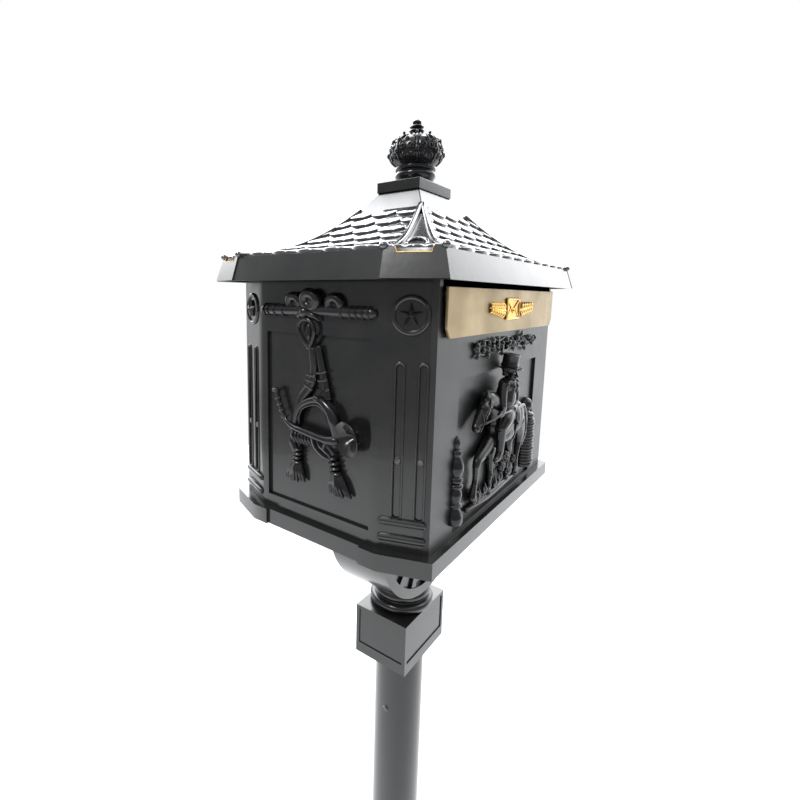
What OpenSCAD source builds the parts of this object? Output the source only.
// Pedestal letter box: a cast box with a pagoda roof on a round column.
// Origin: centre of the foot's underside, on the ground. +Z up, front faces -Y.

/* [Box] */
// Width across the two flat side panels
box_w = 330; // [260:1:420]
// Depth between the front face and the rear face
box_d = 224; // [180:1:290]
// Height of the four walls
wall_h = 243; // [190:1:300]
// Thickness of the cast walls
wall_t = 5; // [4:0.5:6]
// How far a canted pilaster steps in towards the front
cant_in = 16.5; // [12:0.5:22]
// How far a canted pilaster runs back from the front
cant_run = 43.2; // [36:0.5:54]

/* [Floor] */
// Thickness of the floor plate
floor_t = 6; // [5:0.5:10]
// Height of the moulded rim around the floor
rim_h = 15.4; // [12:0.2:20]
// How far the rim hangs below the floor plate
rim_drop = 6.4; // [4:0.2:10]
// How far the rim stands out from the front and rear faces
rim_front = 7.8; // [5:0.2:10]
// How far the rim stands out from the flat sides
rim_side = 6; // [4:0.2:8]
// How far the corner blocks stand out from the pilasters
rim_cant = 10.3; // [7:0.1:13]

/* [Roof] */
// Overhang of the eave at the front and rear
eave_front = 19.2; // [14:0.2:26]
// Overhang of the eave at the sides
eave_side = 23.4; // [16:0.2:30]
// Overhang of the eave at the pilasters
eave_cant = 27.1; // [20:0.1:34]
// How far the eave hangs below the top of the walls
eave_drop = 15; // [10:0.5:18]
// Height of the fascia board
fascia_h = 22.8; // [18:0.2:30]
// How far the fascia leans in at its top
fascia_lean = 6.7; // [3:0.1:10]
// Rise of the curved slope
slope_rise = 54.4; // [40:0.2:70]
// Rise of the smooth cap
cap_rise = 20.8; // [14:0.2:30]
// Thickness of the roof casting
roof_t = 3.5; // [3:0.1:5]

/* [Mail flap] */
// How far the flap stops short of the front corners
flap_margin = 6.5; // [5:0.5:40]
// Height of the brass flap
flap_h = 41; // [32:1:50]
// Thickness of the brass flap
flap_t = 2.5; // [2:0.1:4]
// How far the chute reaches back from the front wall
chute_reach = 58; // [40:1:90]
// Diameter of the flap's hinge pin
flap_pin_d = 4; // [3:0.1:5]

/* [Rear door] */
// Thickness of the door plate
door_t = 4; // [3:0.5:6]
// How far the door laps over its opening
door_lap = 8; // [6:0.5:10]
// Diameter of the door's hinge pins
hinge_pin_d = 4; // [3:0.1:5]
// Diameter of the lock's barrel
lock_d = 19; // [16:0.5:24]

/* [Column] */
// Outer diameter of the column tube
column_d = 60; // [48:1:76]
// Wall of the column tube
column_t = 3; // [2:0.1:4]
// Height of the square block's underside above the ground
column_top = 521; // [420:1:700]
// Width of the square block
block_w = 94; // [88:1:120]
// Depth of the square block
block_d = 70; // [68:1:100]
// Height of the square block
block_h = 62; // [48:1:80]
// Height of the ringed neck over the block
neck_h = 24; // [18:1:32]
// Radius of the half-round bracket under the box
corbel_r = 101; // [80:1:120]

/* [Foot] */
// Diameter of the foot's flange
foot_d = 240; // [200:1:300]
// Thickness of the foot's flange
foot_t = 12; // [8:0.5:16]
// Height of the foot's socket
foot_h = 100; // [70:1:130]
// Diameter of the circle of anchor holes
anchor_pcd = 190; // [160:1:240]
// Diameter of the anchor holes
anchor_d = 12; // [8:0.5:16]

/* [Clearances] */
// Gap between castings that are seated on each other
seat_gap = 0.1; // [0.05:0.05:0.3]
// Radial clearance of screws, pins and bores
bore_gap = 0.05; // [0.02:0.01:0.1]
// Gap between the closed door and its frame
door_gap = 0.3; // [0.2:0.1:1]

/* [Hidden] */
$fn = 48;

iron = "#2c2d30";
brass = "#c2a268";
steel = "#9a9ca0";
rubber = "#1d1d1f";

// Plan of the box: f is a corner on the front face, s a corner on the flat side
cant_a = atan2(cant_in, cant_run);
cant_l = norm([cant_in, cant_run]);
nx = cos(cant_a);
ny = sin(cant_a);
fx = box_w/2 - cant_in;
fy = box_d/2;
sx = box_w/2;
sy = box_d/2 - cant_run;
function corner_f(of, oc) = [fx + (oc - of*ny)/nx, fy + of];
function corner_s(os, oc) = [sx + os, sy + (oc - os*nx)/ny];
function around(f, s) = [[-f.x, -f.y], [f.x, -f.y], [s.x, -s.y], [s.x, s.y],
  [f.x, f.y], [-f.x, f.y], [-s.x, s.y], [-s.x, -s.y]];
function plan(of, os, oc) = around(corner_f(of, oc), corner_s(os, oc));
// A point on the front left pilaster: u along it from the front corner, d into the wall
function cant_point(u, d) = [-(fx + ny*u - nx*d), -(fy - nx*u - ny*d)];

// Heights from the ground up
block_top = column_top + block_h;
corbel_z = block_top + neck_h;
corbel_h = 129;
plate_z = corbel_z + corbel_h;
floor_z = plate_z + floor_t;
rim_z = plate_z - rim_drop;
wall_top = floor_z + wall_h;
eave_z = wall_top - eave_drop;
fascia_z = eave_z + fascia_h;
cap_z = fascia_z + slope_rise;
roof_top = cap_z + cap_rise;
plinth_h = 11.3;
crown_z = roof_top + plinth_h;
crown_h = 69.6;

// Screws
m4 = 4;
m5 = 5;
m8 = 8;
m10 = 10;
m12 = 12;

// Side castings
panel_y = sy - 6.7;
panel_z0 = eave_z - 212;
panel_z1 = eave_z - 47;
recess = 3;
boss_d = 13;
boss_y = sy - 12.7;
boss_x = sx - wall_t - boss_d/2 + 1.5;
ear_t = 5;
ear_x = sx - wall_t - 14;
ear_z = eave_z + 6;
flute_w = 7.5;
flute_deep = 1.2;
flute_u = [9.6, 28.6];
flute_z0 = eave_z - 193;
flute_z1 = eave_z - 68;
screw_z = eave_z - 146;
medal_u = 21.1;
medal_z = eave_z - 26.7;
medal_r = 15.4;
bar_u = 23.6;
bar_l = 35.8;
bar_z = [eave_z - 199, eave_z - 213.3];
flange_t = 3;
flange_u = 39;
flange_h = screw_z + 60 - floor_z;

// Mail flap and its slot
flap_w = 2*(fx - flap_margin);
flap_top = eave_z - 4;
flap_back = -fy - 2;
pin_y = -fy + 3;
pin_z = eave_z - 12;
slot_x = flap_w/2 - 6;
slot_z0 = flap_top - flap_h + 4;
slot_z1 = eave_z + 1.5;
slot_top_x = flap_w/2 + 1;
bracket_r = 4.2;
lug_t = 5;
lug_x = slot_x - 10;
ear_in = lug_x + lug_t + 0.5;
bracket_t = 3.6;
foot_z0 = slot_z0 - 21;
foot_z1 = slot_z0 - 5;
foot_x0 = slot_x - 16;
foot_x1 = slot_x + 2.5;
chute_w = 2*(foot_x0 - 2);
chute_t = 2;

// Front panel and its ornaments
front_panel_x = fx - 43.5;
front_panel_z0 = eave_z - 222;
front_panel_z1 = eave_z - 82;
panel_face = fy - recess;
bollard_z = eave_z - 213;
fat_bollard_x = front_panel_x - 21;

// Rear door: the opening, the hinge axis and the lock
hinge_x = fx - 20.5;
hinge_y = fy + door_gap + door_t + 1.2;
hole_x0 = -(fx - 26.5);
hole_x1 = hinge_x - 15;
hole_z0 = floor_z + 24;
hole_z1 = eave_z - 22;
door_y0 = fy + door_gap;
door_y1 = door_y0 + door_t;
lip_y = fy - 2.5;
knuckle_r = hinge_pin_d/2 + 2.5;
knuckle_l = 12;
knuckle_gap = 0.3;
hinge_l = 3*knuckle_l + 2*knuckle_gap;
hinge_zs = [hole_z0 + 30, hole_z1 - 30 - hinge_l];
lock_x = hole_x0 + 18;
lock_z = (hole_z0 + hole_z1)/2;
plug_r = lock_d/2 - 3.5;
cam_y = fy - 19.7;
cam_t = 2.5;
cam_l = 32;

module slab(of, os, oc, z, h)
  translate([0, 0, z])
    linear_extrude(h)
      polygon(plan(of, os, oc));

// A round bar from p to q that tapers from r1 to r2
module bar(p, q, r1, r2)
  translate(p)
    rotate([0, acos((q.z - p.z)/norm(q - p)), atan2(q.y - p.y, q.x - p.x)])
      cylinder(h = norm(q - p), r1 = r1, r2 = r2);

module ball(p, r)
  translate(p) sphere(r);

// A ring in the plane of a wall that faces -Y
module wall_ring(p, ring_r, wire_r)
  translate(p)
    rotate([90, 0, 0])
      rotate_extrude() translate([ring_r, 0]) circle(wire_r);

// Runs its children at the four corners of the box
module four_corners()
  for (mx = [0, 1], my = [0, 1])
    mirror([mx, 0, 0]) mirror([0, my, 0]) children();

// Puts its children on the front left pilaster, x along it and z out of it
module on_pilaster(u, z)
  translate([cant_point(u, 0).x, cant_point(u, 0).y, z])
    rotate([0, 0, cant_a - 90])
      rotate([90, 0, 0])
        children();

// ---- Foot and column ----
socket_z = 20;
socket_r = column_d/2 + 8;
foot_screw_z = foot_h - 14;

module foot_flange() {
  color(iron)
    difference() {
      rotate_extrude($fn = 96)
        difference() {
          union() {
            square([foot_d/2, foot_t]);
            square([socket_r, foot_h]);
            square([socket_r + 26, foot_t + 26]);
            square([socket_r + 5, foot_h - 24]);
          }
          translate([socket_r + 31, foot_t + 26 + 5]) circle(26 + 5);
        }
      translate([0, 0, socket_z]) cylinder(h = foot_h, r = column_d/2 + bore_gap);
      for (a = [45:90:315])
        rotate([0, 0, a])
          translate([anchor_pcd/2, 0, -1]) cylinder(h = foot_t + 40, d = anchor_d);
      for (a = [0, 180])
        rotate([0, 0, a])
          translate([0, 0, foot_screw_z])
            rotate([0, 90, 0]) cylinder(h = socket_r + 1, r = m8/2 + bore_gap);
    }
}

module foot_screws() {
  color(steel)
    for (a = [0, 180])
      rotate([0, 0, a])
        translate([column_d/2, 0, foot_screw_z])
          rotate([0, 90, 0])
            difference() {
              cylinder(h = socket_r - column_d/2, d = m8);
              translate([0, 0, 4.5]) cylinder(h = 10, d = 4.6, $fn = 6);
            }
}

column_screw_z = column_top - 75;
spigot_l = 91;
spigot_r = column_d/2 - column_t - seat_gap;

module column_tube() {
  color(iron)
    difference() {
      translate([0, 0, socket_z]) cylinder(h = column_top - socket_z, d = column_d, $fn = 96);
      translate([0, 0, socket_z - 1])
        cylinder(h = column_top - socket_z + 2, r = column_d/2 - column_t, $fn = 96);
      translate([0, 0, column_screw_z])
        rotate([0, 90, 0]) cylinder(h = column_d + 2, r = m5/2 + bore_gap, center = true);
    }
}

module column_screws() {
  color(steel)
    for (a = [0, 180])
      rotate([0, 0, a])
        translate([0, 0, column_screw_z])
          rotate([0, 90, 0]) {
            translate([0, 0, column_d/2 - 14]) cylinder(h = 14, d = m5);
            translate([0, 0, column_d/2]) cylinder(h = 2.2, r1 = 4.2, r2 = 3);
          }
}

module square_block() {
  band = 13;
  border = 4.5;
  color(iron)
    difference() {
      union() {
        translate([-block_w/2, -block_d/2, column_top]) cube([block_w, block_d, block_h]);
        translate([0, 0, column_top - spigot_l]) cylinder(h = spigot_l + 1, r = spigot_r);
      }
      for (m = [0, 1]) {
        mirror([0, m, 0])
          translate([-block_w/2 + border, -block_d/2 - 1, column_top + band])
            cube([block_w - 2*border, 2.2, block_h - band - border]);
        mirror([m, 0, 0])
          translate([-block_w/2 - 1, -block_d/2 + border, column_top + band])
            cube([2.2, block_d - 2*border, block_h - band - border]);
      }
      translate([0, 0, block_top - 48]) cylinder(h = 60, r = m12/2 + bore_gap);
      translate([0, 0, column_top - spigot_l - 1]) cylinder(h = spigot_l - 8, r = spigot_r - 12);
      translate([0, 0, column_screw_z])
        rotate([0, 90, 0]) cylinder(h = column_d, r = m5/2 + bore_gap, center = true);
    }
}

module neck_collar() {
  ring_r = neck_h/4;
  color(iron)
    rotate_extrude($fn = 96)
      difference() {
        union() {
          translate([m12/2 + bore_gap, block_top]) square([27, neck_h]);
          translate([33, block_top + ring_r]) circle(ring_r);
          translate([29, block_top + 3*ring_r]) circle(ring_r);
        }
        translate([0, block_top - 1]) square([m12/2 + bore_gap, neck_h + 2]);
      }
}

// ---- Half-round bracket ----
seat_r = 28;
seat_h = 1;
drum_z = corbel_z + seat_h + corbel_r;
bracket_wall = 6;
fan_rim = 11;
fan_deep = 4;
corbel_bolt = [60, 22];

// A half drum with straight sides that rise by up
module half_drum(r, half_d, up)
  rotate([90, 0, 0])
    linear_extrude(2*half_d, center = true) {
      intersection() {
        circle(r, $fn = 128);
        translate([-r - 1, -r - 1]) square([2*r + 2, r + 1]);
      }
      if (up > 0) translate([-r, 0]) square([2*r, up]);
    }

module corbel_bracket() {
  top_h = plate_z - drum_z;
  cavity_d = block_d/2 - bracket_wall - fan_deep;
  color(iron)
    difference() {
      union() {
        difference() {
          union() {
            translate([0, 0, drum_z]) half_drum(corbel_r, block_d/2, top_h);
            translate([0, 0, corbel_z]) cylinder(h = seat_h + 8, r = seat_r);
          }
          for (m = [0, 1])
            mirror([0, m, 0])
              translate([0, -block_d/2, drum_z]) half_drum(corbel_r - fan_rim, fan_deep, 0);
          translate([0, 0, drum_z]) half_drum(corbel_r - bracket_wall, cavity_d, top_h + 1);
        }
        fan_ribs();
        translate([-20, -cavity_d - 1, corbel_z + 2]) cube([40, 2*cavity_d + 2, 12]);
        for (x = [-corbel_bolt.x, corbel_bolt.x], m = [0, 1])
          mirror([0, m, 0])
            translate([x - 8, -cavity_d - 1, plate_z - 26]) cube([16, 16, 26]);
      }
      for (x = [-corbel_bolt.x, corbel_bolt.x], m = [0, 1])
        mirror([0, m, 0])
          translate([x, -cavity_d + 7, plate_z - 22]) cylinder(h = 30, r = m8/2 + bore_gap);
      translate([0, 0, corbel_z - 1]) cylinder(h = 30, r = m12/2 + bore_gap);
    }
}

// Nine straight ribs that spread from the middle of the fan on each face
module fan_ribs()
  for (m = [0, 1], a = [-80:20:80])
    mirror([0, m, 0])
      translate([0, -block_d/2 + fan_deep + 0.5, drum_z])
        rotate([0, a, 0])
          translate([0, 0, -corbel_r + fan_rim - 1])
            rotate([90, 0, 0])
              linear_extrude(fan_deep - 0.5)
                polygon([[-5, 0], [5, 0], [2, corbel_r - fan_rim - 14], [-2, corbel_r - fan_rim - 14]]);

module corbel_bolts() {
  y = block_d/2 - bracket_wall - fan_deep - 7;
  color(steel)
    for (x = [-corbel_bolt.x, corbel_bolt.x], m = [0, 1])
      mirror([0, m, 0])
        translate([x, -y, floor_z]) {
          translate([0, 0, -floor_t - 18]) cylinder(h = floor_t + 19, d = m8);
          difference() {
            cylinder(h = 5.5, d = 15, $fn = 6);
            translate([0, 0, 4.8]) cylinder(h = 1, d = 9);
          }
        }
}

module draw_bolt() {
  color(steel)
    union() {
      translate([0, 0, corbel_z + 14]) cylinder(h = 8, d = 21, $fn = 6);
      translate([0, 0, block_top - 44]) cylinder(h = neck_h + 14 + 45, d = m12);
    }
}

// ---- Floor ----
module floor_pan() {
  block_y = sy - 12;
  color(iron)
    difference() {
      union() {
        slab(rim_front, rim_side, rim_cant, rim_z, rim_h);
        intersection() {
          slab(rim_front, rim_side + 2.5, rim_cant, rim_z, rim_h);
          four_corners() translate([0, block_y, rim_z]) cube([box_w, box_d, rim_h]);
        }
      }
      slab(-wall_t, -wall_t, -wall_t, rim_z - 1, rim_drop + 1);
      slab(seat_gap, seat_gap, seat_gap, floor_z, rim_h);
      four_corners() translate([boss_x, boss_y, rim_z - 1]) cylinder(h = 20, r = m5/2 + 0.3);
      for (x = [-corbel_bolt.x, corbel_bolt.x], m = [-1, 1])
        translate([x, m*(block_d/2 - bracket_wall - fan_deep - 7), rim_z - 1])
          cylinder(h = 20, r = m8/2 + 0.3);
    }
}

module floor_screws() {
  color(steel)
    four_corners()
      translate([boss_x, boss_y, plate_z]) {
        translate([0, 0, -1]) cylinder(h = floor_t + 14, d = m5);
        translate([0, 0, -3]) cylinder(h = 3, d = 9);
      }
}

// ---- Side castings, modelled on the left ----
module star(r, h)
  linear_extrude(h)
    polygon([for (i = [0:9]) let (k = i % 2 == 0 ? r : 0.42*r) [k*sin(36*i), k*cos(36*i)]]);

module pilaster_face() {
  difference() {
    children();
    for (u = flute_u) {
      on_pilaster(u, flute_z0)
        translate([-flute_w/2, 0, -flute_deep]) cube([flute_w, flute_z1 - flute_z0, 5]);
      for (z = [flute_z0, flute_z1])
        on_pilaster(u, z) translate([0, 0, -flute_deep]) cylinder(h = 5, d = flute_w);
      on_pilaster(u, screw_z) translate([0, 0, -20]) cylinder(h = 30, r = m4/2 + 0.2);
    }
  }
  on_pilaster(medal_u, medal_z)
    difference() {
      translate([0, 0, -1]) cylinder(h = 2.2, r = medal_r);
      translate([0, 0, 0.4]) cylinder(h = 5, r = medal_r - 2.2);
    }
  on_pilaster(medal_u, medal_z) translate([0, 0, 0.3]) star(8.8, 1.8);
  for (z = bar_z)
    on_pilaster(bar_u, z)
      translate([-bar_l/2, 0, 0])
        rotate([0, 90, 0]) cylinder(h = bar_l, r = 3);
}

module side_casting() {
  cut_y = fy - wall_t - seat_gap;
  pilaster_face()
    mirror([0, 1, 0])
      pilaster_face()
        mirror([0, 1, 0])
          difference() {
            union() {
              difference() {
                slab(0, 0, 0, floor_z, wall_h);
                slab(-wall_t, -wall_t, -wall_t, floor_z - 1, wall_h + 2);
                translate([-sx + 30, -fy - 1, floor_z - 1]) cube([2*sx, box_d + 2, wall_h + 2]);
              }
              for (m = [-1, 1]) {
                translate([-boss_x, m*boss_y, floor_z]) cylinder(h = 22, d = boss_d);
                translate([-sx + wall_t - 1, m*boss_y - 10, ear_z - ear_t]) cube([26, 20, ear_t]);
              }
            }
            for (m = [-1, 1]) {
              translate([-sx - 20, m > 0 ? cut_y : -cut_y - 50, floor_z - 1]) cube([80, 50, wall_h + 2]);
              translate([-boss_x, m*boss_y, floor_z - 1]) cylinder(h = 16, r = m5/2 + bore_gap);
              translate([-ear_x, m*boss_y, ear_z - ear_t - 1]) cylinder(h = ear_t + 2, r = m5/2 + 0.3);
            }
            translate([-sx - 1, -panel_y, panel_z0]) cube([1 + recess, 2*panel_y, panel_z1 - panel_z0]);
          }
}

module left_side() {
  color(iron) side_casting();
}

module right_side() {
  color(iron) mirror([1, 0, 0]) side_casting();
}

module pilaster_screws() {
  color(steel)
    four_corners()
      for (u = flute_u)
        on_pilaster(u, screw_z) {
          translate([0, 0, -flute_deep]) cylinder(h = 1.8, r1 = 3.3, r2 = 2.4);
          translate([0, 0, -wall_t - flange_t - 2]) cylinder(h = wall_t + flange_t + 1, d = m4);
        }
}

// ---- Front wall and rear frame ----
// A flat wall at the front with a flange behind each pilaster
module end_wall() {
  difference() {
    union() {
      intersection() {
        slab(0, 0, 0, floor_z, wall_h);
        translate([-sx, -fy, floor_z]) cube([2*sx, wall_t, wall_h]);
      }
      for (m = [0, 1])
        mirror([m, 0, 0])
          translate([0, 0, floor_z])
            linear_extrude(flange_h)
              polygon([cant_point(1, wall_t + seat_gap), cant_point(flange_u, wall_t + seat_gap),
                cant_point(flange_u, wall_t + seat_gap + flange_t),
                cant_point(1, wall_t + seat_gap + flange_t)]);
    }
    for (m = [0, 1], u = flute_u)
      mirror([m, 0, 0])
        on_pilaster(u, screw_z) translate([0, 0, -20]) cylinder(h = 30, r = m4/2 + bore_gap);
    children();
  }
}

module front_wall() {
  color(iron)
    end_wall() {
      translate([-slot_x, -fy - 1, slot_z0]) cube([2*slot_x, wall_t + 2, slot_z1 - slot_z0]);
      translate([-slot_top_x, -fy - 1, pin_z - 5]) cube([2*slot_top_x, wall_t + 2, slot_z1 - pin_z + 5]);
      translate([-front_panel_x, -fy - 1, front_panel_z0])
        cube([2*front_panel_x, 1 + recess, front_panel_z1 - front_panel_z0]);
      bracket_screw_places() translate([0, 0, -3.4]) cylinder(h = 4, r = m4/2 + bore_gap);
      chute_screw_places() translate([0, 0, -3.4]) cylinder(h = 4, r = m4/2 + bore_gap);
    }
}

module rear_frame() {
  color(iron)
    union() {
      mirror([0, 1, 0])
        end_wall()
          translate([hole_x0, -fy - 1, hole_z0])
            cube([hole_x1 - hole_x0, wall_t + 2, hole_z1 - hole_z0]);
      for (z = hinge_zs, k = [0, 1])
        difference() {
          union() {
            translate([hinge_x, hinge_y, z + k*2*(knuckle_l + knuckle_gap)])
              cylinder(h = knuckle_l, r = knuckle_r);
            translate([hinge_x - 3.5, fy - 1, z + k*2*(knuckle_l + knuckle_gap)])
              cube([7, hinge_y - fy + 1, knuckle_l]);
          }
          translate([hinge_x, hinge_y, z - 1]) cylinder(h = hinge_l + 2, r = hinge_pin_d/2 + 0.02);
        }
    }
}

// ---- Ornaments ----
strap_face = sx - recess;

// A rounded rod from p to q, as the cast ornaments are built up from
module limb(p, q, r1, r2)
  hull() {
    ball(p, r1);
    ball(q, r2);
  }

// A run of limbs through a list of points
module vine(pts, r)
  for (i = [0:len(pts) - 2])
    limb(pts[i], pts[i + 1], r, r);

// Hunting harness with a horn, flat on the left side panel
module harness_ornament($fn = 10) {
  // A point on the panel: y along it, z below the eave and h out of it
  function at(y, z, h) = [-(strap_face + h), y, eave_z + z];
  function loop(y, z, h, r, n) = [for (i = [0:n]) at(y + r*cos(360*i/n), z + r*sin(360*i/n), h)];
  intersection() {
    union() {
      limb(at(-58, -27, 5), at(58, -27, 5), 3.6, 3.6);
      for (y = [-58, -44, -30, 30, 44, 58])
        limb(at(y - 2.5, -27, 6), at(y + 2.5, -27, 6), 5.6, 5.6);
      for (y = [-17, 0, 17])
        vine(loop(y, -21, 4, 8, 8), 2.8);
      vine(loop(3, -41, 3, 9, 8), 2.6);
      for (e = [-21, 18])
        for (k = [0:2])
          limb(at(4 + e*k/3, -50 - 21.5*k, 1.5), at(4 + e*(k + 1)/3, -71.5 - 21.5*k, 1.5), 3.6, 2.8);
      vine([for (a = [-30:30:210]) at(1 + 22*cos(a), -128 + 22*sin(a), 3)], 4.6);
      vine([at(45, -103, 5), at(38, -112, 5), at(31, -128, 5), at(16, -141, 5), at(-24, -140, 5)], 3.6);
      limb(at(-24, -140, 5), at(-36, -136, 6), 4, 8);
      limb(at(-40, -141, 7), at(-44, -126, 7), 8, 8);
      vine(loop(3, -143, 6, 10, 8), 3.4);
      for (t = [[20, -141, 24, -172], [-18, -141, -32, -168]]) {
        limb(at(t[0], t[1], 4), at(t[2], t[3], 4), 2.5, 5.5);
        limb(at(t[2], t[3], 4), at(t[2], t[3] - 18, 4), 5.5, 7.5);
      }
    }
    union() {
      translate([-strap_face - 20, -panel_y, panel_z0]) cube([20, 2*panel_y, panel_z1 - panel_z0]);
      translate([-sx - 20, -panel_y - 4, panel_z1 - 1]) cube([20, 2*panel_y + 8, eave_z - panel_z1 - 2]);
    }
  }
}

module left_harness_ornament() {
  color(iron) harness_ornament();
}

module right_harness_ornament() {
  color(iron) mirror([1, 0, 0]) harness_ornament();
}

// Rider on a walking horse, flat on the recess of the front wall
module rider_relief($fn = 10) {
  function at(x, z, h) = [x, -(panel_face + h), eave_z + z];
  color(iron)
    intersection() {
      union() {
        limb(at(-24, -142, 1), at(38, -146, 1), 17, 17);
        limb(at(-30, -134, 3), at(-48, -114, 3), 12, 8);
        limb(at(-48, -114, 4), at(-72, -128, 5), 9, 5.5);
        limb(at(-32, -152, 1), at(-42, -180, 2), 8, 5);
        limb(at(-42, -180, 1), at(-38, -206, 2), 5, 5);
        limb(at(-24, -152, 1), at(-62, -168, 2), 8, 5);
        limb(at(-62, -168, 1), at(-64, -196, 2), 5, 7);
        limb(at(40, -152, 1), at(50, -182, 2), 9, 5);
        limb(at(50, -182, 1), at(44, -208, 2), 5, 5);
        limb(at(32, -152, 1), at(20, -182, 2), 9, 5);
        limb(at(20, -182, 1), at(26, -208, 2), 5, 5);
        limb(at(54, -138, 3), at(64, -178, 3), 6, 4);
        limb(at(-12, -126, 3), at(-14, -102, 3), 14, 15);
        ball(at(-8, -87, 4), 9);
        limb(at(-16, -80, 4), at(4, -80, 4), 3, 3);
        limb(at(-7, -79, 4), at(-7, -73, 4), 7.5, 5);
        limb(at(0, -101, 4), at(20, -118, 3), 7, 5);
        limb(at(-24, -102, 4), at(-36, -120, 4), 7, 5);
        limb(at(-14, -126, 8), at(-22, -158, 8), 8, 5);
        limb(at(-22, -158, 8), at(-30, -168, 8), 5, 4);
        limb(at(-74, -211, 2), at(60, -211, 2), 6, 6);
      }
      union() {
        translate([-front_panel_x, -panel_face - 30, front_panel_z0])
          cube([2*front_panel_x, 30, front_panel_z1 - front_panel_z0]);
        translate([-24, -fy - 20, front_panel_z1 - 1]) cube([40, 20, 16]);
      }
    }
}

// A turned bollard at x on a face, fat times as thick as the slim one on the left
module bollard(x, face, fat) {
  intersection() {
    translate([x, -face, bollard_z])
      rotate_extrude()
        intersection() {
          union() {
            translate([0, 8]) circle(8*fat);
            translate([0, 15]) square([6*fat, 62]);
            translate([0, 18]) square([7.6*fat, 4]);
            translate([0, 36]) square([7.6*fat, 3]);
            translate([0, 46]) square([7.6*fat, 3]);
            translate([0, 58]) circle(7.5*fat);
            translate([0, 76]) circle(4.5*fat);
            translate([0, 74]) square([2, 11]);
          }
          square([20, 90]);
        }
    translate([x - 20, -face - 30, bollard_z - 10]) cube([40, 30, 110]);
  }
}

module bollards() {
  color(iron) {
    bollard(-front_panel_x, fy, 1);
    bollard(fat_bollard_x, panel_face, 1.5);
  }
}

module leaf_swag($fn = 10) {
  color(iron)
    intersection() {
      union()
        for (k = [-5:5]) {
          limb([k*15 - 7, -fy - 1, eave_z - 57], [k*15 + 8, -fy - 1, eave_z - 57], 2.6, 2.6);
          limb([k*15, -fy - 1, eave_z - 56], [k*15 - 3, -fy - 1, eave_z - 52], 4.4, 2);
          limb([k*15, -fy - 1, eave_z - 58], [k*15 + 4, -fy - 1, eave_z - 63], 4.4, 2);
        }
      translate([-90, -fy - 12, eave_z - 70]) cube([180, 12, 22]);
    }
}

// ---- Roof ----
cap_x = 50.4;
cap_y = 38.4;
crest_x = 34.5;
crest_y = 25;
slope_rings = 6;
slope_power = 1.9;
function mix(a, b, k) = a + (b - a)*k;
// Plan of the curved slope: k is 0 at the fascia and 1 at the cap
function slope_plan(k, inset) =
  let (o = [eave_front, eave_side, eave_cant] - [1, 1, 1]*(fascia_lean + inset),
    f = corner_f(o[0], o[2]), s = corner_s(o[1], o[2]),
    c = [cap_x - inset, cap_y - inset])
  around([mix(f.x, c.x - 1, k), mix(f.y, c.y, k)], [mix(s.x, c.x, k), mix(s.y, c.y - 1, k)]);
function slope_z(k) = fascia_z + slope_rise*pow(k, slope_power);
function ring_at(pts, z) = [for (p = pts) [p.x, p.y, z]];
function eave_plan(inset) = plan(eave_front - inset, eave_side - inset, eave_cant - inset);
// The rings of a roof skin from the eave to the crest
function skin(inset, drop) =
  let (c = [crest_x - inset, crest_y - inset])
  [each ring_at(eave_plan(inset), eave_z),
    for (i = [0:slope_rings])
      each ring_at(slope_plan(i/slope_rings, inset), slope_z(i/slope_rings) - drop),
    each ring_at(around([c.x - 1, c.y], [c.x, c.y - 1]), roof_top - drop)];

module roof_shell() {
  rings = slope_rings + 3;
  n = 8*rings;
  outer = [for (i = [0:rings - 2], j = [0:7])
    each [[8*i + j, 8*(i + 1) + j, 8*(i + 1) + (j + 1) % 8], [8*i + j, 8*(i + 1) + (j + 1) % 8, 8*i + (j + 1) % 8]]];
  inner = [for (t = outer) [t[0] + n, t[2] + n, t[1] + n]];
  hem = [for (j = [0:7])
    each [[j, (j + 1) % 8, n + (j + 1) % 8], [j, n + (j + 1) % 8, n + j]]];
  boss_k = (sx + eave_side - fascia_lean - ear_x)/(sx + eave_side - fascia_lean - cap_x);
  boss_top = slope_z(boss_k) - roof_t/2 + 1;
  color(iron)
    difference() {
      union() {
        polyhedron(
          points = concat(skin(0, 0), skin(roof_t, roof_t)),
          faces = concat(outer, inner, hem,
            [[for (j = [7:-1:0]) n - 8 + j]], [[for (j = [0:7]) 2*n - 8 + j]]));
        four_corners()
          translate([ear_x, boss_y, ear_z]) cylinder(h = boss_top - ear_z, d = boss_d);
      }
      translate([0, 0, roof_top - 10]) cylinder(h = 20, r = m10/2 + bore_gap);
      four_corners()
        translate([ear_x, boss_y, ear_z - 1]) cylinder(h = 13, r = m5/2 + bore_gap);
    }
}

module roof_screws() {
  color(steel)
    four_corners()
      translate([ear_x, boss_y, ear_z - ear_t]) {
        translate([0, 0, -1]) cylinder(h = ear_t + 10, d = m5);
        translate([0, 0, -3]) cylinder(h = 3, d = 9);
      }
}

module finial_plinth() {
  color(iron)
    difference() {
      translate([-36.1, -26.2, roof_top]) cube([72.2, 52.4, plinth_h]);
      translate([0, 0, roof_top - 1]) cylinder(h = plinth_h + 2, r = m10/2 + bore_gap);
    }
}

module finial_crown() {
  color(iron)
    difference() {
      translate([0, 0, crown_z])
        rotate_extrude($fn = 96)
          intersection() {
            union() {
              translate([18, 3]) circle(3.2);
              translate([18, 9]) circle(3.2);
              square([18, 14]);
              translate([10.5, 32]) circle(19);
              square([20, 46]);
              translate([0, 46]) circle(19);
              square([5, 58]);
              translate([6.2, 57]) circle(2.4);
              translate([5.2, 61.5]) circle(2.2);
              translate([0, crown_h - 5]) circle(5);
            }
            square([30, crown_h]);
          }
      translate([0, 0, crown_z - 1]) cylinder(h = 31, r = m10/2 + bore_gap);
    }
}

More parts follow.
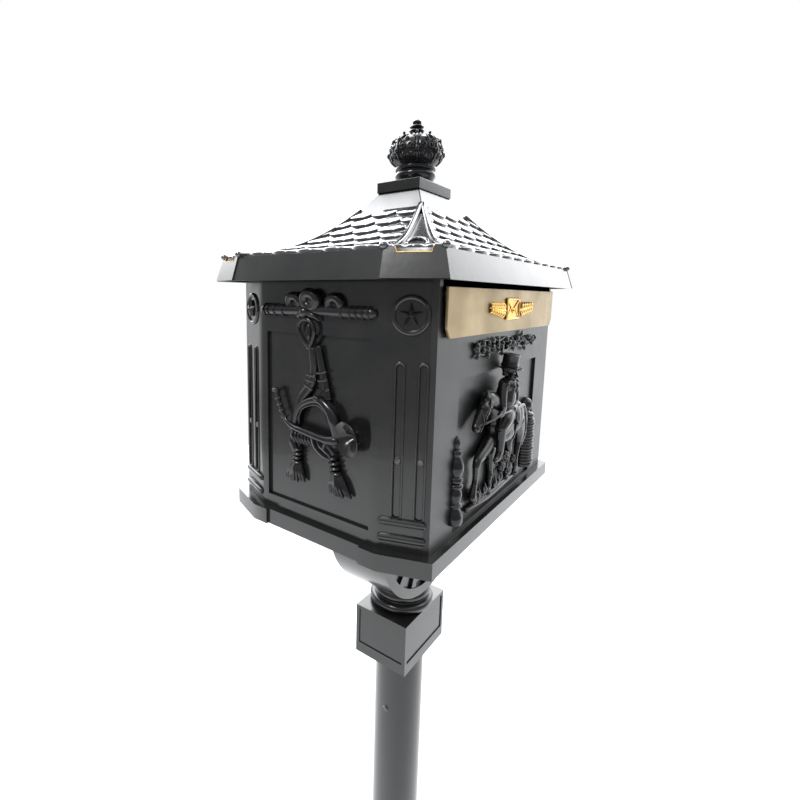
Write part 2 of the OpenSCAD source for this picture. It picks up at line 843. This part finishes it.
module finial_stud() {
  color(steel)
    translate([0, 0, roof_top - 16]) cylinder(h = 16 + plinth_h + 28, d = m10);
}

module finial_nut() {
  color(steel)
    difference() {
      translate([0, 0, roof_top - roof_t - 8]) cylinder(h = 8, d = 19, $fn = 6);
      translate([0, 0, roof_top - roof_t - 9]) cylinder(h = 10, r = m10/2 + bore_gap);
    }
}

// ---- Mail flap ----
module mail_flap() {
  nip = [6, 9];
  w = flap_w/2;
  color(brass)
    difference() {
      union() {
        translate([0, flap_back, flap_top])
          rotate([90, 0, 0])
            linear_extrude(flap_t)
              polygon([[-w, 0], [-w, nip.y - flap_h], [nip.x - w, -flap_h],
                [w - nip.x, -flap_h], [w, nip.y - flap_h], [w, 0]]);
        for (m = [0, 1])
          mirror([m, 0, 0]) {
            translate([lug_x, flap_back - 1, pin_z - 4]) cube([lug_t, pin_y - flap_back + 1, 8]);
            translate([lug_x, pin_y, pin_z]) rotate([0, 90, 0]) cylinder(h = lug_t, r = 4);
          }
      }
      translate([-slot_x, pin_y, pin_z]) rotate([0, 90, 0]) cylinder(h = 2*slot_x, r = flap_pin_d/2 + bore_gap);
    }
}

// A plain envelope between two bars with ball ends
module flap_emblem() {
  face = flap_back - flap_t;
  mid = flap_top - 19;
  env = [46, 26];
  color(brass)
    intersection() {
      union() {
        difference() {
          translate([-env.x/2, face - 1.6, mid - env.y/2]) cube([env.x, 1.6, env.y]);
          translate([-env.x/2 + 2.4, face - 2, mid - env.y/2 + 2.4]) cube([env.x - 4.8, 1.4, env.y - 4.8]);
        }
        for (e = [-1, 1])
          bar([e*(env.x/2 - 2), face, mid + env.y/2 - 2], [0, face, mid - 3], 1.6, 1.6);
        for (e = [-1, 1], k = [-1, 0, 1]) {
          bar([e*31, face, mid + 7*k], [e*(62 - 6*abs(k)), face, mid + 7*k], 1.6, 1.6);
          ball([e*(62 - 6*abs(k)), face, mid + 7*k], 2.6);
        }
        for (e = [-1, 1])
          bar([e*31, face, mid - 9], [e*31, face, mid + 9], 1.8, 1.8);
      }
      translate([-80, face - 6, mid - 20]) cube([160, 6, 40]);
    }
}

module flap_pin() {
  color(steel)
    translate([-ear_in - bracket_t, pin_y, pin_z])
      rotate([0, 90, 0]) cylinder(h = 2*(ear_in + bracket_t), d = flap_pin_d);
}

// Places of the bracket screws on the inside of the front wall, z out of it
module bracket_screw_places()
  for (m = [0, 1], dz = [-4, 4])
    mirror([m, 0, 0])
      translate([foot_x0 + 6, -fy + wall_t, (foot_z0 + foot_z1)/2 + dz])
        rotate([-90, 0, 0])
          children();

module flap_brackets() {
  inner = -fy + wall_t;
  foot_t2 = 2.5;
  color(steel)
    for (m = [0, 1])
      mirror([m, 0, 0])
        difference() {
          union() {
            translate([foot_x0, inner + 0.02, foot_z0]) cube([foot_x1 - foot_x0, foot_t2, foot_z1 - foot_z0]);
            translate([ear_in, inner + 0.02, foot_z0]) cube([bracket_t, 7, pin_z + bracket_r - foot_z0]);
            translate([ear_in, pin_y, pin_z - 8]) cube([bracket_t, inner + 1 - pin_y, 8 + bracket_r]);
            translate([ear_in, pin_y, pin_z]) rotate([0, 90, 0]) cylinder(h = bracket_t, r = bracket_r);
          }
          translate([ear_in - 1, pin_y, pin_z])
            rotate([0, 90, 0]) cylinder(h = bracket_t + 2, r = flap_pin_d/2 + 0.02);
          bracket_screw_places() translate([0, 0, -1]) cylinder(h = 8, r = m4/2 + bore_gap);
        }
}

module bracket_screws() {
  color(steel)
    bracket_screw_places() {
      translate([0, 0, -3]) cylinder(h = 6, d = m4);
      translate([0, 0, 2.55]) cylinder(h = 2, r1 = 3.6, r2 = 2.6);
    }
}

// Two rubber dots that the closed flap rests against
module flap_bumpers() {
  color(rubber)
    for (m = [-1, 1])
      translate([m*(slot_x - 26), -fy, slot_z0 - 2.2])
        rotate([90, 0, 0]) cylinder(h = -flap_back - fy - 0.3, r = 1.7);
}

module chute_screw_places()
  for (x = [-chute_w/2 + 20, 0, chute_w/2 - 20])
    translate([x, -fy + wall_t, (foot_z0 + foot_z1)/2])
      rotate([-90, 0, 0])
        children();

// Bent sheet that carries letters back and down from the slot
module mail_chute() {
  y0 = -fy + wall_t + 0.02;
  color(steel)
    difference() {
      translate([-chute_w/2, 0, 0])
        rotate([90, 0, 90])
          linear_extrude(chute_w)
            polygon([[y0, foot_z0], [y0 + chute_t, foot_z0], [y0 + chute_t, foot_z1 + 1],
              [y0 + chute_reach, foot_z1 - 26], [y0 + chute_reach, foot_z1 - 24], [y0 + chute_t, foot_z1 + 4],
              [y0, foot_z1 + 4]]);
      chute_screw_places() translate([0, 0, -1]) cylinder(h = 6, r = m4/2 + bore_gap);
    }
}

module chute_screws() {
  color(steel)
    chute_screw_places() {
      translate([0, 0, -3]) cylinder(h = 5.4, d = m4);
      translate([0, 0, chute_t + 0.05]) cylinder(h = 2, r1 = 3.6, r2 = 2.6);
    }
}

// ---- Rear door ----
module rear_door() {
  x0 = hole_x0 - door_lap;
  x1 = hole_x1 + door_lap;
  z0 = hole_z0 - door_lap;
  z1 = hole_z1 + door_lap;
  lip = 3;
  color(iron)
    difference() {
      union() {
        translate([x0, door_y0, z0]) cube([x1 - x0, door_t, z1 - z0]);
        difference() {
          translate([hole_x0 + lip, lip_y, hole_z0 + lip])
            cube([hole_x1 - hole_x0 - 2*lip, door_y0 - lip_y + 0.01, hole_z1 - hole_z0 - 2*lip]);
          translate([hole_x0 + lip + 32, lip_y - 1, hole_z0 + lip + 4])
            cube([hole_x1 - hole_x0 - 2*lip - 36, door_y0 - lip_y + 1, hole_z1 - hole_z0 - 2*lip - 8]);
        }
        for (z = hinge_zs) {
          translate([hinge_x, hinge_y, z + knuckle_l + knuckle_gap]) cylinder(h = knuckle_l, r = knuckle_r);
          translate([x1 - 1, door_y0 + 0.5, z + knuckle_l + knuckle_gap])
            cube([hinge_x - x1 + 1, door_t - 0.5, knuckle_l]);
        }
      }
      for (z = hinge_zs)
        translate([hinge_x, hinge_y, z]) cylinder(h = hinge_l, r = hinge_pin_d/2 + bore_gap);
      translate([lock_x, lip_y - 1, lock_z]) rotate([-90, 0, 0]) cylinder(h = 20, r = lock_d/2 + bore_gap);
      translate([x0 + 26 + lock_d, door_y1 - 1.5, z0 + 20])
        cube([x1 - x0 - 26 - lock_d - 20, 2, z1 - z0 - 40]);
    }
}

module hinge_pins() {
  color(steel)
    for (z = hinge_zs)
      translate([hinge_x, hinge_y, z]) {
        cylinder(h = hinge_l, d = hinge_pin_d);
        translate([0, 0, hinge_l + 0.02]) cylinder(h = 2, r = hinge_pin_d/2 + 1);
      }
}

// Four rubber dots that the closed door rests against
module door_bumpers() {
  color(rubber)
    for (x = [hole_x0 - door_lap/2, hole_x1 + door_lap/2], z = [hole_z0 + 6, hole_z1 - 6])
      translate([x, fy, z]) rotate([-90, 0, 0]) cylinder(h = door_gap - 0.05, r = 2.5);
}

module lock_keeper() {
  color(steel)
    translate([hole_x0 - 18, cam_y + cam_t + 1, lock_z - 14])
      cube([14, fy - wall_t - cam_y - cam_t - 1, 28]);
}

module lock_body() {
  color(steel)
    difference() {
      union() {
        translate([lock_x, cam_y + cam_t + 2.2, lock_z])
          rotate([-90, 0, 0]) cylinder(h = door_y1 - cam_y - cam_t - 1.2, d = lock_d);
        translate([lock_x, door_y1 + 0.02, lock_z])
          rotate([-90, 0, 0]) cylinder(h = 3, r1 = lock_d/2 + 3.5, r2 = lock_d/2 + 1.5);
      }
      translate([lock_x, cam_y, lock_z]) rotate([-90, 0, 0]) cylinder(h = 60, r = plug_r + bore_gap);
    }
}

module lock_nut() {
  color(steel)
    difference() {
      translate([lock_x, lip_y - 4.02, lock_z]) rotate([-90, 0, 0]) cylinder(h = 4, d = lock_d + 9, $fn = 6);
      translate([lock_x, lip_y - 6, lock_z]) rotate([-90, 0, 0]) cylinder(h = 8, r = lock_d/2 + bore_gap);
    }
}

module lock_plug() {
  color(brass)
    difference() {
      union() {
        translate([lock_x, cam_y + cam_t + 0.5, lock_z])
          rotate([-90, 0, 0]) cylinder(h = door_y1 + 3.2 - cam_y - cam_t - 0.5, r = plug_r);
        translate([lock_x, cam_y - 3, lock_z]) rotate([-90, 0, 0]) cylinder(h = cam_t + 4, r = 3);
      }
      translate([lock_x - 0.7, door_y1 - 5, lock_z - 4]) cube([1.4, 10, 8]);
    }
}

// Cam that hangs down when the lock is open
module lock_cam() {
  color(steel)
    difference() {
      union() {
        translate([lock_x - 6, cam_y, lock_z - cam_l]) cube([12, cam_t, cam_l]);
        translate([lock_x, cam_y, lock_z]) rotate([-90, 0, 0]) cylinder(h = cam_t, r = 6);
      }
      translate([lock_x, cam_y - 1, lock_z]) rotate([-90, 0, 0]) cylinder(h = cam_t + 2, r = 3 + bore_gap);
    }
}

module cam_screw() {
  color(steel)
    difference() {
      translate([lock_x, cam_y - 3.02, lock_z]) rotate([-90, 0, 0]) cylinder(h = 3, d = 10, $fn = 6);
      translate([lock_x, cam_y - 4, lock_z]) rotate([-90, 0, 0]) cylinder(h = 5, r = 3 + bore_gap);
    }
}

foot_flange();
foot_screws();
column_tube();
column_screws();
square_block();
neck_collar();
draw_bolt();
corbel_bracket();
corbel_bolts();
floor_pan();
floor_screws();
left_side();
right_side();
front_wall();
rear_frame();
pilaster_screws();
left_harness_ornament();
right_harness_ornament();
rider_relief();
bollards();
leaf_swag();
roof_shell();
roof_screws();
finial_plinth();
finial_crown();
finial_stud();
finial_nut();
mail_flap();
flap_emblem();
flap_pin();
flap_brackets();
flap_bumpers();
bracket_screws();
mail_chute();
chute_screws();
rear_door();
hinge_pins();
door_bumpers();
lock_keeper();
lock_body();
lock_nut();
lock_plug();
lock_cam();
cam_screw();
